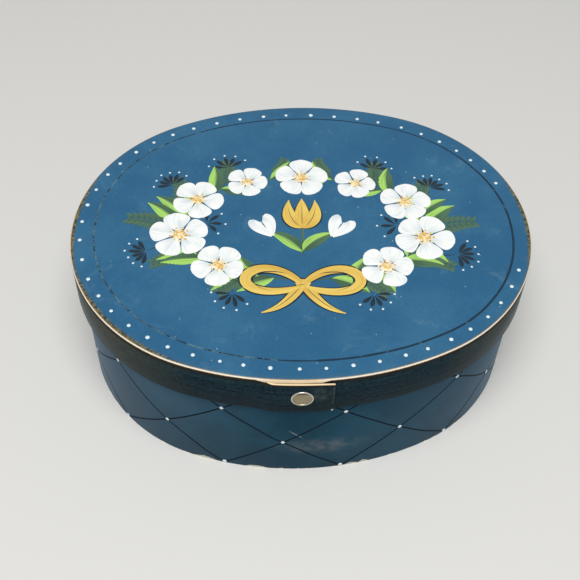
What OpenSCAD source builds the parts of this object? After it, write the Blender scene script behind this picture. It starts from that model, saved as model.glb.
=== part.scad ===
/* [Form] */
// Radius of the two round ends of the form that the body band is bent round
form_end_r = 73.3; // [60:0.1:85]
// Distance between the centres of the two round ends
form_end_gap = 45; // [30:1:54]
// Radius of the two flatter long sides of the form
form_side_r = 131.8; // [115:0.1:180]

/* [Bands] */
// Thickness of the bent wooden bands
band_t = 1.6; // [1.2:0.1:2.4]
// Height of the body band
body_h = 68; // [60:1:90]
// Height of the lid's rim band, below the top panel
lid_rim_h = 18; // [16:1:24]
// Play all round between the body band and the lid's rim band
lid_play = 1; // [0.9:0.1:2]

/* [Panels] */
// Thickness of the lid's top panel, which lies on the rim band and rests on the body band
lid_panel_t = 2; // [1.5:0.5:4]
// Thickness of the bottom panel
base_panel_t = 3; // [2:0.5:6]
// Width of the glue line between the bottom panel's edge and the body band
glue_gap = 0.1; // [0.05:0.05:0.2]

/* [Lid lap] */
// Thickness that the outer end of the lid's rim band is shaved to
lid_lap_t = 1.1; // [0.8:0.1:1.6]
// How far the square end of the lap lies to the right of the middle of the front
lid_lap_end = 5; // [0:0.5:12]
// Length over which the lid's rim band lies double
lid_lap_l = 22; // [19:1:40]
// Length of the ramp where the outer layer climbs over the inner end
lid_ramp_l = 10; // [5:0.5:12]
// Distance from the square end of the lap to the middle of the rivet
lid_rivet_inset = 12; // [7:0.5:14]
// Height of the middle of the rivet above the lower edge of the lid's rim
lid_rivet_up = 9.8; // [7:0.1:12]

/* [Body lap] */
// Thickness that the outer end of the body band is shaved to, so that the lid passes over it
body_lap_t = 0.6; // [0.4:0.1:0.6]
// How far the end of the lap lies to one side of the middle of the back
body_lap_end = 12; // [0:0.5:16]
// Length over which the body band lies double
body_lap_l = 30; // [24:1:45]
// Length of the ramp where the shaved layer climbs over the inner end
body_ramp_l = 8; // [5:0.5:12]
// Distance from the end of the lap to the middle of the rivets
body_rivet_inset = 12; // [7:0.5:15]
// Distance of the rivets from the bottom edge and from the lid's rim
body_rivet_edge = 11; // [7:0.5:12]

/* [Rivets] */
// Diameter of the rivet caps
cap_d = 9; // [7:0.5:11]
// Height of the rivet caps
cap_t = 0.6; // [0.5:0.05:0.9]
// Width of the bevel round a rivet cap
cap_bevel = 0.5; // [0.2:0.1:0.9]
// Depth of the shallow dish in a rivet cap's face
cap_dish = 0.1; // [0:0.05:0.2]
// Outer diameter of the tube below a rivet cap
tube_d = 3; // [2.5:0.1:3.5]
// Diameter of the post's stem inside that tube
stem_d = 2; // [1.4:0.1:2]
// Diameter of the post's flange on the inner face of the band
flange_d = 7; // [5.5:0.5:7.5]
// Thickness of the post's flange
flange_t = 0.4; // [0.3:0.05:0.45]
// Play round the stem and round the tube
rivet_play = 0.05; // [0.03:0.01:0.1]
// Gap between a rivet's faces and the curved wood that it clamps
seat_gap = 0.05; // [0.03:0.01:0.08]

/* [Hidden] */
$fn = 96;

bare_wood = "BurlyWood";
body_blue = [0.18, 0.32, 0.43];
lid_blue = [0.21, 0.42, 0.57];
rim_black = [0.13, 0.15, 0.17];
nickel = "Silver";

// The oval has two end arcs and two side arcs, which meet without a corner on the line
// through their centres. The side arcs' centres lie beyond the middle line.
end_x = form_end_gap/2;
side_y = sqrt(pow(form_side_r - form_end_r, 2) - pow(end_x, 2));
side_turn = atan2(end_x, side_y);
side_half_l = form_side_r*side_turn*PI/180;
// A length that reaches past every outline, and one that clears a lap, for cutting
far = 2*form_side_r;
clear = 10*band_t;

// Offsets of the bands' faces outwards from the form
body_in = 0;
body_out = body_in + band_t;
lid_in = body_out + lid_play;
lid_out = lid_in + band_t;

rim_z = body_h - lid_rim_h;
lid_rivet_z = rim_z + lid_rivet_up;
low_z = body_rivet_edge;
high_z = rim_z - body_rivet_edge;

lid_rivet_s = lid_lap_end - lid_rivet_inset;
body_rivet_s = body_lap_end - body_rivet_inset;
lid_grip = band_t + lid_lap_t;
body_grip = band_t + body_lap_t;

// Places on the oval, for a distance s along the form from the middle of the front,
// positive to the right, and an offset outwards from the form
function on_side(s) = abs(s) <= side_half_l;
function turn_at(s) = on_side(s)
    ? s/form_side_r*180/PI
    : sign(s)*(side_turn + (abs(s) - side_half_l)/form_end_r*180/PI);
function point_at(s, off) = let (
    centre = on_side(s) ? [0, side_y] : [sign(s)*end_x, 0],
    r = (on_side(s) ? form_side_r : form_end_r) + off
) centre + r*[sin(turn_at(s)), -cos(turn_at(s))];

// Height of a flat face above the bottom of a hollow of radius r that it spans
function sag(r, half) = r - sqrt(r*r - half*half);

// The oval's outline, at an offset from the form
module oval(off) {
    for (side = [-1, 1])
        translate([side*end_x, 0]) circle(form_end_r + off);
    for (turn = [0, 180])
        rotate(turn) translate([0, side_y]) intersection() {
            circle(form_side_r + off);
            polygon([[0, 0], far*[-sin(side_turn), -cos(side_turn)], far*[sin(side_turn), -cos(side_turn)]]);
        }
}

// The second layer of a band whose outer face is at off: from a ramp on the left
// to a square end on the right
module lap_layer(off, lap_t, lap_end, lap_l, ramp_l) {
    foot = point_at(lap_end - lap_l - ramp_l, off);
    crest = point_at(lap_end - lap_l, off + lap_t);
    slope = crest - foot;
    intersection() {
        oval(off + lap_t);
        polygon([
            foot - slope, crest + slope, point_at(lap_end - lap_l/2, off + clear),
            point_at(lap_end, off + clear), point_at(lap_end, off - band_t)
        ]);
    }
}

// A strip bent into an oval, with its ends lapped
module lapped_band(inner, h, lap_t, lap_end, lap_l, ramp_l) {
    linear_extrude(h) difference() {
        union() {
            oval(inner + band_t);
            lap_layer(inner + band_t, lap_t, lap_end, lap_l, ramp_l);
        }
        oval(inner);
    }
}

// Puts a thing that points up onto the wall, pointing outwards
module on_wall(s, off, z) {
    translate([each point_at(s, off), z]) rotate([90, 0, turn_at(s)]) children();
}

// The hole for a rivet's tube, drilled inwards from the wall's outer face
module rivet_hole(grip) {
    translate([0, 0, -2*grip]) cylinder(d = tube_d + 2*rivet_play, h = 3*grip);
}

// A rivet's cap and tube, over the outer face of the wood at zero
module rivet_cap(grip) {
    face = seat_gap + cap_t;
    tube_r = tube_d/2;
    bore_r = stem_d/2 + rivet_play;
    rotate_extrude() polygon([
        [0, face - cap_dish], [cap_d/2 - cap_bevel, face], [cap_d/2, face - cap_t/2], [cap_d/2, seat_gap],
        [tube_r, seat_gap], [tube_r, -grip], [bore_r, -grip], [bore_r, 0], [0, 0]
    ]);
}

// A rivet's post, whose flange lies on the hollow inner face of the wood
module rivet_post(grip, inner) {
    stem_r = stem_d/2;
    flange_r = flange_d/2;
    flange_z = -grip - sag(form_side_r + inner, flange_r) - seat_gap;
    rotate_extrude() polygon([
        [0, flange_z - flange_t], [flange_r - flange_t/2, flange_z - flange_t], [flange_r, flange_z - flange_t/2],
        [flange_r, flange_z], [stem_r, flange_z], [stem_r, -rivet_play], [0, -rivet_play]
    ]);
}

module base_panel() {
    color(bare_wood) linear_extrude(base_panel_t) oval(body_in - glue_gap);
}

// The body band laps at the back
module body_band() {
    color(body_blue) rotate(180) difference() {
        lapped_band(body_in, body_h, body_lap_t, body_lap_end, body_lap_l, body_ramp_l);
        for (z = [low_z, high_z])
            on_wall(body_rivet_s, body_out + body_lap_t, z) rivet_hole(body_grip);
    }
}

module body_rivet_cap(z) {
    color(nickel) rotate(180) on_wall(body_rivet_s, body_out + body_lap_t, z) rivet_cap(body_grip);
}

module body_rivet_post(z) {
    color(nickel) rotate(180) on_wall(body_rivet_s, body_out + body_lap_t, z) rivet_post(body_grip, body_in);
}

// The top panel is glued on to the rim band's top edge, and its own edge shows all round
module lid_panel() {
    color(lid_blue) translate([0, 0, body_h]) linear_extrude(lid_panel_t) oval(lid_out);
}

// The lid's rim band laps at the front
module lid_band() {
    color(rim_black) difference() {
        translate([0, 0, rim_z])
            lapped_band(lid_in, lid_rim_h, lid_lap_t, lid_lap_end, lid_lap_l, lid_ramp_l);
        on_wall(lid_rivet_s, lid_out + lid_lap_t, lid_rivet_z) rivet_hole(lid_grip);
    }
}

module lid_rivet_cap() {
    color(nickel) on_wall(lid_rivet_s, lid_out + lid_lap_t, lid_rivet_z) rivet_cap(lid_grip);
}

module lid_rivet_post() {
    color(nickel) on_wall(lid_rivet_s, lid_out + lid_lap_t, lid_rivet_z) rivet_post(lid_grip, lid_in);
}

base_panel();
body_band();
body_rivet_cap(low_z);  // body_rivet_cap_low
body_rivet_post(low_z);  // body_rivet_post_low
body_rivet_cap(high_z);  // body_rivet_cap_high
body_rivet_post(high_z);  // body_rivet_post_high
lid_panel();
lid_band();
lid_rivet_cap();
lid_rivet_post();
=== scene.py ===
import math
from functools import partial

import bmesh
import bpy
from mathutils import Euler, Matrix, Vector, noise


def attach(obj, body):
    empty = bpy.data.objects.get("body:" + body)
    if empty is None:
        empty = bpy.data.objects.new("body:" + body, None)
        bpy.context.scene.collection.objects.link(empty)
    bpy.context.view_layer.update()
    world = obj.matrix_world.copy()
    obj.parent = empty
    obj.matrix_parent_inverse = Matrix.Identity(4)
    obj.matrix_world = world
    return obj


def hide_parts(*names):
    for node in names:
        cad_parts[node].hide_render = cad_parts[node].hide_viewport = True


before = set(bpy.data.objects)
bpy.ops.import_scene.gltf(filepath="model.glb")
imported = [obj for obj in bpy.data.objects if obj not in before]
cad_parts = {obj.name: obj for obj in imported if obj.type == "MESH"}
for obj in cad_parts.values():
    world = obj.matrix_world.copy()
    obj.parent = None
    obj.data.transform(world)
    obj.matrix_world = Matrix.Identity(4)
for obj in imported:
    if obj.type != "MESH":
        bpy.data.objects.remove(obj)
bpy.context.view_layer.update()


# Bottom panel: an oval of thin basswood, sawn to the inside of the body band and glued in flush
# with its lower edge. It was sanded and left bare.
GRAIN_L = 0.070
GRAIN_W = 0.0035
FIBRE_L = 0.009
FIBRE_W = 0.0005
BARE_ROUGH = 0.72
RELIEF = 0.0002


def linear(code):
    """The linear colour that shaders take, from sRGB hex"""
    parts = [int(code[i:i + 2], 16) / 255 for i in (1, 3, 5)]
    return [c / 12.92 if c <= 0.04045 else ((c + 0.055) / 1.055) ** 2.4 for c in parts] + [1.0]


def set_inputs(node, inputs):
    """Sets each input to a value or an sRGB hex colour, or links it from an output. A node given as an
    input stands for its first output in use"""
    for name, value in inputs.items():
        if isinstance(value, str):
            value = linear(value)
        if isinstance(value, bpy.types.Node):
            value = next(output for output in value.outputs if output.enabled)
        if isinstance(value, bpy.types.NodeSocket):
            node.id_data.links.new(value, node.inputs[name])
        else:
            node.inputs[name].default_value = value


def add_node(tree, kind, inputs=None, **settings):
    """Adds a shader node of a kind, with its settings, inputs and links"""
    node = tree.nodes.new("ShaderNode" + kind)
    for name, value in settings.items():
        setattr(node, name, value)
    set_inputs(node, inputs or {})
    return node


def new_finish(name):
    """A new material, with what adds nodes to it, its shader and the place on the piece"""
    finish = bpy.data.materials.new(name)
    finish.use_nodes = True
    add = partial(add_node, finish.node_tree)
    place = add("TexCoord").outputs["Object"]
    return finish, add, finish.node_tree.nodes["Principled BSDF"], place


def basswood(add, place):
    """Colour and surface height of sanded basswood whose grain runs along X of the place given"""
    in_bands = add(
        "VectorMath", {0: place, 1: (1 / GRAIN_L, 1 / GRAIN_W, 1 / GRAIN_W)}, operation="MULTIPLY")
    bands = add("TexNoise", {"Vector": in_bands, "Scale": 1.0, "Detail": 3.0, "Distortion": 0.5})
    in_fibres = add(
        "VectorMath", {0: place, 1: (1 / FIBRE_L, 1 / FIBRE_W, 1 / FIBRE_W)}, operation="MULTIPLY")
    fibres = add("TexNoise", {"Vector": in_fibres, "Scale": 1.0, "Detail": 2.0})
    wood = add("Mix", {0: bands, 6: "#EFD9AE", 7: "#CFAA74"}, data_type="RGBA")
    darkest = add("MapRange", {"Value": fibres, "From Min": 0.5, "From Max": 0.8, "To Max": 0.5})
    marked = add("Mix", {0: darkest, 6: wood, 7: "#A97F4C"}, data_type="RGBA")
    return marked, fibres


# Bare sanded basswood is pale cream with faint tan bands and short fibres, and quite matt. The
# fibres are drawn a few times coarser than real ones, so that they show.
bare_wood, add, shader, place = new_finish("bare_sanded_basswood")
colour, height = basswood(add, place)
bump = add("Bump", {"Height": height, "Strength": 0.25, "Distance": RELIEF})
set_inputs(shader, {"Base Color": colour, "Normal": bump, "Roughness": BARE_ROUGH})
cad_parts["base_panel"].material_slots[0].material = bare_wood


# Body band: a strip of thin basswood, bent wet round an oval form, with its two ends lapped at
# the back. The outer end is shaved thin there. Blue paint covers the outside only.
FORM_END_R = 0.0733
FORM_END_X = 0.0225
FORM_SIDE_R = 0.1318
FORM_SIDE_Y = math.sqrt((FORM_SIDE_R - FORM_END_R) ** 2 - FORM_END_X ** 2)
SIDE_TURN = math.atan2(FORM_END_X, FORM_SIDE_Y)
HALF_SIDE_L = FORM_SIDE_R * SIDE_TURN
END_L = FORM_END_R * (math.pi - 2 * SIDE_TURN)
FORM_L = 4 * HALF_SIDE_L + 2 * END_L

BAND_T = 0.0016
BAND_EASE = 0.0003
BAND_CUTS = 400
SHARP_FROM = math.radians(40)
FEATHER = 0.05
SPRING_CURL = 4
BODY_H = 0.068
LID_LOW = 0.050
BODY_LAP_T = 0.0006
BODY_LAP_END = FORM_L / 2 + 0.012
BODY_LAP_L = 0.030
BODY_RAMP_L = 0.008
LAP_GLUE = 0.00005


def heading(s):
    """How far the oval has turned, at s along the form to the right of the middle of the front"""
    s = s % FORM_L
    if s > FORM_L / 2:
        return 2 * math.pi - heading(FORM_L - s)
    if s <= HALF_SIDE_L:
        return s / FORM_SIDE_R
    if s <= HALF_SIDE_L + END_L:
        return SIDE_TURN + (s - HALF_SIDE_L) / FORM_END_R
    return math.pi - (FORM_L / 2 - s) / FORM_SIDE_R


def on_form(s, out, z):
    """The place at s along the form, out from it, and z up"""
    turn = heading(s)
    across, forward = math.sin(turn), -math.cos(turn)
    if abs(across) <= math.sin(SIDE_TURN):
        centre = Vector((0, -math.copysign(FORM_SIDE_Y, forward), z))
        radius = FORM_SIDE_R
    else:
        centre = Vector((math.copysign(FORM_END_X, across), 0, z))
        radius = FORM_END_R
    return centre + (radius + out) * Vector((across, forward, 0))


def ease(t):
    """Rises smoothly from 0 to 1 as t does"""
    t = min(max(t, 0), 1)
    return t * t * (3 - 2 * t)


def long_edges(bm, length):
    """The edges that run the length of a straight strip"""
    return [e for e in bm.edges if abs(e.verts[0].co.x - e.verts[1].co.x) > length / 2]


def bent_strip(inner, low, high, lap_t, lap_end, lap_l, ramp_l, spring):
    """Cuts a strip of wood, eases its edges, and bends it round the form with its ends lapped. The
    inner end is feathered, and the outer one springs away at the top"""
    start = lap_end - lap_l - ramp_l - FORM_L
    length = lap_end - start
    bm = bmesh.new()
    bmesh.ops.create_cube(bm, size=1)
    bmesh.ops.scale(bm, vec=(length, BAND_T, high - low), verts=bm.verts)
    bmesh.ops.bevel(
        bm, geom=long_edges(bm, length), offset=BAND_EASE, affect="EDGES", segments=2, profile=0.5,
        material=-1)
    bmesh.ops.subdivide_edges(bm, edges=long_edges(bm, length), cuts=BAND_CUTS, use_grid_fill=True)
    along = bm.verts.layers.float.new("along")
    side = bm.verts.layers.float.new("side")
    for vert in bm.verts:
        s = start + vert.co.x + length / 2
        depth = vert.co.y / BAND_T + 0.5
        climb = ease((s - start - FORM_L) / ramp_l)
        on_lap = max(0, (s - lap_end + lap_l) / lap_l)
        lifted = spring * on_lap ** SPRING_CURL * (0.5 + vert.co.z / (high - low))
        under = climb * (BAND_T + LAP_GLUE) + lifted
        thick = BAND_T + climb * (lap_t - BAND_T)
        thick *= max(ease((s - start) / ramp_l), FEATHER)
        vert[along] = s
        vert[side] = depth
        vert.co = on_form(s, inner + under + depth * thick, (low + high) / 2 + vert.co.z)
    bmesh.ops.recalc_face_normals(bm, faces=bm.faces)
    return bm


def add_object(name, data):
    """Adds an object to the scene"""
    made = bpy.data.objects.new(name, data)
    bpy.context.scene.collection.objects.link(made)
    return made


def add_shape(name, bm, finish):
    """Makes a finished bmesh an object with one material"""
    mesh = bpy.data.meshes.new(name)
    bm.to_mesh(mesh)
    bm.free()
    mesh.materials.append(finish)
    return add_object(name, mesh)


def add_piece(name, bm, finish, body):
    """Makes a finished bmesh a piece that rides on a body, smooth except at its sharp edges"""
    piece = add_shape(name, bm, finish)
    piece.data.shade_smooth()
    piece.data.set_sharp_from_angle(angle=SHARP_FROM)
    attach(piece, body)
    return piece


CLOUD = 0.030
SPECK = 0.0011
PAINT_GLOSS = 0.03
DUSTY_SKIN = {
    "Specular IOR Level": PAINT_GLOSS, "Sheen Weight": 0.11, "Sheen Roughness": 0.25,
    "Sheen Tint": "#9CBBD4"}


def blue_paint(add, place, deep, pale, speck):
    """Colour and surface height of one brushed coat of blue craft paint, in two shades with specks"""
    clouds = add("TexNoise", {"Vector": place, "Scale": 1 / CLOUD, "Detail": 4.0, "Roughness": 0.6})
    cloudy = add(
        "MapRange", {"Value": clouds, "From Min": 0.36, "From Max": 0.66},
        interpolation_type="SMOOTHSTEP")
    blue = add("Mix", {0: cloudy, 6: deep, 7: pale}, data_type="RGBA")
    specks = add("TexNoise", {"Vector": place, "Scale": 1 / SPECK, "Detail": 3.0})
    speckled = add("MapRange", {"Value": specks, "From Min": 0.3, "From Max": 0.7, "To Max": 0.22})
    paint = add("Mix", {0: speckled, 6: blue, 7: speck}, data_type="RGBA")
    return paint, specks


def strip_places(add, place):
    """Where a place on a bent strip is: along the strip, out through it, across the box, and up"""
    along = add("Attribute", attribute_name="along").outputs["Fac"]
    side = add("Attribute", attribute_name="side").outputs["Fac"]
    split = add("SeparateXYZ", {0: place})
    return along, side, split.outputs["X"], split.outputs["Z"]


def mark_distance(add, place, at, reach, turn=0):
    """How far a place is from the middle of an oval mark, as a share of the mark's reach"""
    in_mark = add(
        "Mapping", {"Vector": place, "Location": at, "Rotation": (0, 0, turn), "Scale": reach},
        vector_type="TEXTURE")
    return add("VectorMath", {0: in_mark}, operation="LENGTH")


def painted_surface(add, shader, skin, colour, painted, brushed, satin, depth):
    """Satin paint with the gloss and dust of its skin and the marks of the brush, which gives way to
    matt wood where it isn't painted"""
    rough = add("MapRange", {"Value": painted, "To Min": BARE_ROUGH, "To Max": satin})
    bump = add("Bump", {"Height": brushed, "Strength": depth, "Distance": RELIEF})
    set_inputs(shader, {"Base Color": colour, "Roughness": rough, "Normal": bump, **skin})


# Water-based craft paint on wood has a satin skin with brush clouds and fine specks. It is worn
# through to pale wood in chips along the bottom edge, lightened by a painted sheen towards both ends,
# most at the left and less low down, dulled by a dusty smear at the front, and scratched there.
CHIP_L = 0.006
CHIP_Z = 0.0013
KNOCKS = ((-0.0480, 0.0045), (-0.0250, 0.0040), (0.0160, 0.0030), (0.0215, 0.0022))
KNOCK_Z = 1.7 * CHIP_Z
SMEAR_AT = (0.0025, 0.0180, 0)
SMEAR_REACH = (0.0190, 0.0058, 1)
SCRATCH_AT = (-0.0085, 0.0276, 0)
SCRATCH_TURN = math.radians(-44)
SCRATCH_REACH = (0.0046, 0.0002, 1)
BODY_PAINTED_SHEENS = ((-0.015, -0.095, 0.40), (0.005, 0.095, 0.29))
body_paint, add, shader, place = new_finish("blue_craft_paint_on_basswood")
along, side, across, up = strip_places(add, place)
on_strip = add("CombineXYZ", {"X": along, "Y": up})
wood = basswood(add, on_strip)[0]
paint, brushed = blue_paint(add, place, "#163D4F", "#1D4A5F", "#0F3041")
chips = add("TexNoise", {"Vector": on_strip, "Scale": 1 / CHIP_L, "Detail": 4.0, "Roughness": 0.7})
near_edge = add("MapRange", {"Value": up, "From Max": CHIP_Z, "To Min": 0.30, "To Max": 0.0})
chipped = add("Math", {0: chips, 1: near_edge})
for s, reach in KNOCKS:
    far = mark_distance(add, on_strip, (s, 0, 0), (reach, KNOCK_Z, 1))
    knock = add(
        "MapRange", {"Value": far, "From Min": 0.4, "From Max": 1.2, "To Min": 0.42, "To Max": 0.0})
    chipped = add("Math", {0: chipped, 1: knock})
unchipped = add(
    "MapRange", {"Value": chipped, "From Min": 0.76, "From Max": 0.80, "To Min": 1.0, "To Max": 0.0})
outside = add("MapRange", {"Value": side, "From Min": 0.80, "From Max": 0.93})
painted = add("Math", {0: outside, 1: unchipped}, operation="MULTIPLY")
# Painted sheen: a paler grey-blue is mixed in towards both ends, fading towards the bottom, in place of
# light glancing off the curved ends.
painted_sheen_ramps = [
    add("MapRange", {"Value": across, "From Min": start, "From Max": full, "To Max": most})
    for start, full, most in BODY_PAINTED_SHEENS]
dust_and_sheen = add("Math", {0: painted_sheen_ramps[0], 1: painted_sheen_ramps[1]})
dust_and_sheen_by_height = add("MapRange", {"Value": up, "From Max": LID_LOW, "To Min": 0.30, "To Max": 1.0})
rubs_and_sheen = add("Math", {0: dust_and_sheen, 1: dust_and_sheen_by_height}, operation="MULTIPLY")
dust_and_sheen_paint = add("Mix", {0: rubs_and_sheen, 6: paint, 7: "#748BA2"}, data_type="RGBA")
far = mark_distance(add, on_strip, SMEAR_AT, SMEAR_REACH)
smear = add(
    "MapRange", {"Value": far, "From Min": 0.2, "From Max": 1.3, "To Min": 1.0, "To Max": 0.0},
    interpolation_type="SMOOTHSTEP")
dust = add("MapRange", {"Value": chips, "From Min": 0.36, "From Max": 0.64, "To Max": 0.30})
dusty = add("Math", {0: smear, 1: dust}, operation="MULTIPLY")
dulled = add("Mix", {0: dusty, 6: dust_and_sheen_paint, 7: "#9C9A94"}, data_type="RGBA")
far = mark_distance(add, on_strip, SCRATCH_AT, SCRATCH_REACH, SCRATCH_TURN)
scratch = add("MapRange", {"Value": far, "From Min": 0.6, "From Max": 1.0, "To Min": 0.8, "To Max": 0.0})
scratched = add("Mix", {0: scratch, 6: dulled, 7: "#AEB8B8"}, data_type="RGBA")
chip_wood = add("Mix", {0: outside, 6: wood, 7: "#D8D3C2"}, data_type="RGBA")
colour = add("Mix", {0: painted, 6: chip_wood, 7: scratched}, data_type="RGBA")
painted_surface(add, shader, DUSTY_SKIN, colour, painted, brushed, satin=0.42, depth=0.15)

bm = bent_strip(0, 0, BODY_H, BODY_LAP_T, BODY_LAP_END, BODY_LAP_L, BODY_RAMP_L, 0)
body_band = add_piece("bent_body_band", bm, body_paint, "box")
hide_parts("body_band")


# Lattice on the body: thin dark blue lines drawn with a liner brush, crossing all round the
# body, with a white dot on each crossing set down with the end of a brush handle.
LATTICE_COUNT = 11
LATTICE_S = 0.0113
LATTICE_STEP = FORM_L / LATTICE_COUNT
LATTICE_Z = 0.0005
LATTICE_RISE = 0.0210
LATTICE_ROWS = 3
LINE_W = 0.0008
LINE_RISE = 0.00006
LINE_WOBBLE = 0.0005
LINE_STEPS = 60
DOT_R = 0.00095
DOT_RISE = 0.00025
DOT_VARY = 0.15
LOWEST_DOT_Z = 1.2 * DOT_R
STROKE_EDGE = 0.00001
STROKE_DEEP = 0.00004
STROKE_STEPS = 14
UPRIGHT = Vector((0, 0, 1))


def brush_stroke(bm, place, path, width, press, rise, steps=STROKE_STEPS, across=4):
    """Lays a domed stroke of paint. place(u, v, h) puts it on the wood, path(t) is its course as
    t goes from 0 to 1, and press(t) is how far the brush is pressed to its full width"""
    grid = bmesh.ops.create_grid(bm, x_segments=steps, y_segments=across, size=0.5, calc_uvs=True)
    for vert in grid["verts"]:
        t, aside = vert.co.x + 0.5, 2 * vert.co.y
        ahead = path(min(t + 0.01, 1)) - path(max(t - 0.01, 0))
        left = Vector((-ahead.y, ahead.x)).normalized()
        point = path(t) + left * aside * press(t) * width / 2
        vert.co = place(point.x, point.y, STROKE_EDGE + rise * (1 - aside ** 2))


def on_wall(at, s):
    """Moves what is made at the origin to a place on a wall at s along the form, with its X along the
    wall, its Y up and its Z outwards"""
    turn = heading(s)
    along = Vector((math.cos(turn), math.sin(turn), 0))
    turned = Matrix((along, UPRIGHT, along.cross(UPRIGHT))).transposed()
    return Matrix.Translation(at) @ turned.to_4x4()


def paint_dot(bm, placed, radius, rise):
    """Sets a dome of paint down where placed moves it"""
    dome = placed @ Matrix.Diagonal((radius, radius, rise, 1))
    bmesh.ops.create_uvsphere(bm, u_segments=12, v_segments=6, radius=1, matrix=dome)


def dry(bm, depth):
    """Gives strokes their thickness, down into what lies below them"""
    bm.normal_update()
    bmesh.ops.solidify(bm, geom=bm.faces[:], thickness=depth)
    bmesh.ops.recalc_face_normals(bm, faces=bm.faces)


def body_face(s):
    """How far the body's outer face lies out from the form, at s along it"""
    before_end = (BODY_LAP_END - s) % FORM_L
    climb = ease((BODY_LAP_L + BODY_RAMP_L - before_end) / BODY_RAMP_L)
    return BAND_T + climb * (BODY_LAP_T + LAP_GLUE)


def on_body(s, z, h):
    """The place on the body's outer face, and h out from it"""
    return on_form(s, body_face(s) + h, z)


def lattice_line(number, slant):
    """Course of a line from the body's lower edge upwards, which leans to the left or right"""
    def path(t):
        sway = noise.noise((number * 7.3, slant * 3.1, t * 6)) * LINE_WOBBLE
        rows = LATTICE_ROWS * t
        s = LATTICE_S + (number + slant * rows / 2) * LATTICE_STEP
        return Vector((s + sway, LATTICE_Z + LATTICE_RISE * rows + sway))

    return path


def even(t):
    """A brush pressed evenly"""
    return 1


# Thinned navy paint sinks in to a nearly matt line that is darker where the brush was full.
NAVY_POOL = 0.004
navy_line, add, shader, place = new_finish("thinned_navy_craft_paint")
pools = add("TexNoise", {"Vector": place, "Scale": 1 / NAVY_POOL, "Detail": 2.0})
navy = add("Mix", {0: pools, 6: "#050F18", 7: "#0B1E2C"}, data_type="RGBA")
set_inputs(shader, {"Base Color": navy, "Roughness": 0.5, "Specular IOR Level": PAINT_GLOSS})

# Thick white paint dries to a smooth satin dome that lets a trace of the blue below it through.
WHITE_STAIN = 0.0015
white_dot, add, shader, place = new_finish("thick_white_craft_paint")
stains = add("TexNoise", {"Vector": place, "Scale": 1 / WHITE_STAIN, "Detail": 2.0})
white = add("Mix", {0: stains, 6: "#E6F1F2", 7: "#D2E2E6"}, data_type="RGBA")
set_inputs(shader, {"Base Color": white, "Roughness": 0.4})

bm = bmesh.new()
bm.loops.layers.uv.new("stroke")
for number in range(LATTICE_COUNT):
    for slant in (-1, 1):
        line = lattice_line(number, slant)
        brush_stroke(bm, on_body, line, LINE_W, even, LINE_RISE, steps=LINE_STEPS, across=2)
dry(bm, STROKE_DEEP)
add_piece("lattice_lines", bm, navy_line, "box")

bm = bmesh.new()
for number in range(LATTICE_COUNT):
    for row in range(LATTICE_ROWS + 1):
        s = LATTICE_S + (number + row % 2 / 2) * LATTICE_STEP
        z = max(LATTICE_Z + LATTICE_RISE * row, LOWEST_DOT_Z)
        size = DOT_R * (1 + DOT_VARY * noise.noise((s * 900, z * 900, 0)))
        paint_dot(bm, on_wall(on_body(s, z, 0), s), size, DOT_RISE)
add_piece("lattice_dots", bm, white_dot, "box")


# Rivets: two-part nickel-plated rivets, a dished cap with a rolled edge whose tube is pressed on
# to a flanged post from inside. Two hold the body's lap, one above the other, and one the lid's.
CAP_R = 0.0045
CAP_T = 0.0006
CAP_DISH = 0.0003
CAP_ROLL = 0.00035
CAP_FACE_R = 0.80 * CAP_R
CAP_SKIRT_R = 0.98 * CAP_R
TUBE_R = 0.0015
STEM_R = 0.001
BORE_R = 1.05 * STEM_R
FLANGE_R = 0.0035
FLANGE_T = 0.0004
SEAT_GAP = 0.00005
FLANGE_SAG = 0.00005
RIVET_STEPS = 48
BODY_RIVETS = (("low", 0.011), ("high", 0.039))


def turned_piece(profile, placed):
    """Spins a profile of (radius, out) points round an axis, notes how far from the axis and how high on
    the wall each place is, and moves it to its place"""
    bm = bmesh.new()
    radius = bm.verts.layers.float.new("radius")
    height = bm.verts.layers.float.new("height")
    verts = [bm.verts.new((r, 0, out)) for r, out in profile]
    edges = [bm.edges.new(pair) for pair in zip(verts, verts[1:])]
    bmesh.ops.spin(
        bm, geom=verts + edges, cent=(0, 0, 0), axis=(0, 0, 1), angle=2 * math.pi,
        steps=RIVET_STEPS, use_merge=True, use_duplicate=False)
    bmesh.ops.remove_doubles(bm, verts=bm.verts, dist=1e-7)
    bmesh.ops.recalc_face_normals(bm, faces=bm.faces)
    for vert in bm.verts:
        vert[radius] = vert.co.xy.length
        vert[height] = vert.co.y
    bmesh.ops.transform(bm, matrix=placed, verts=bm.verts)
    return bm


def add_rivet(names, s, out, z, grip, body):
    """Adds a rivet's cap and post through the wood at a place, in the place of two CAD nodes"""
    placed = on_wall(on_form(s, out, z), s)
    face = SEAT_GAP + CAP_T
    rolled = [math.radians(angle) for angle in range(-80, 110, 20)]
    roll = [
        (CAP_R + CAP_ROLL * (math.sin(angle) - 1), face + CAP_ROLL * (math.cos(angle) - 1))
        for angle in rolled]
    cap = [
        (0, face - CAP_DISH), (CAP_FACE_R, face - CAP_DISH), *roll, (CAP_SKIRT_R, SEAT_GAP),
        (TUBE_R, SEAT_GAP), (TUBE_R, -grip), (BORE_R, -grip), (BORE_R, 0), (0, 0)]
    top = -grip - FLANGE_SAG - SEAT_GAP
    post = [
        (0, top - FLANGE_T), (0.8 * FLANGE_R, top - FLANGE_T), (0.95 * FLANGE_R, top - 0.8 * FLANGE_T),
        (FLANGE_R, top - 0.4 * FLANGE_T), (FLANGE_R, top), (STEM_R, top), (STEM_R, -SEAT_GAP),
        (0, -SEAT_GAP)]
    for name, profile in zip(names, (cap, post)):
        piece = add_piece("turned_" + name, turned_piece(profile, placed), nickel, body)
        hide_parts(name)
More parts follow.
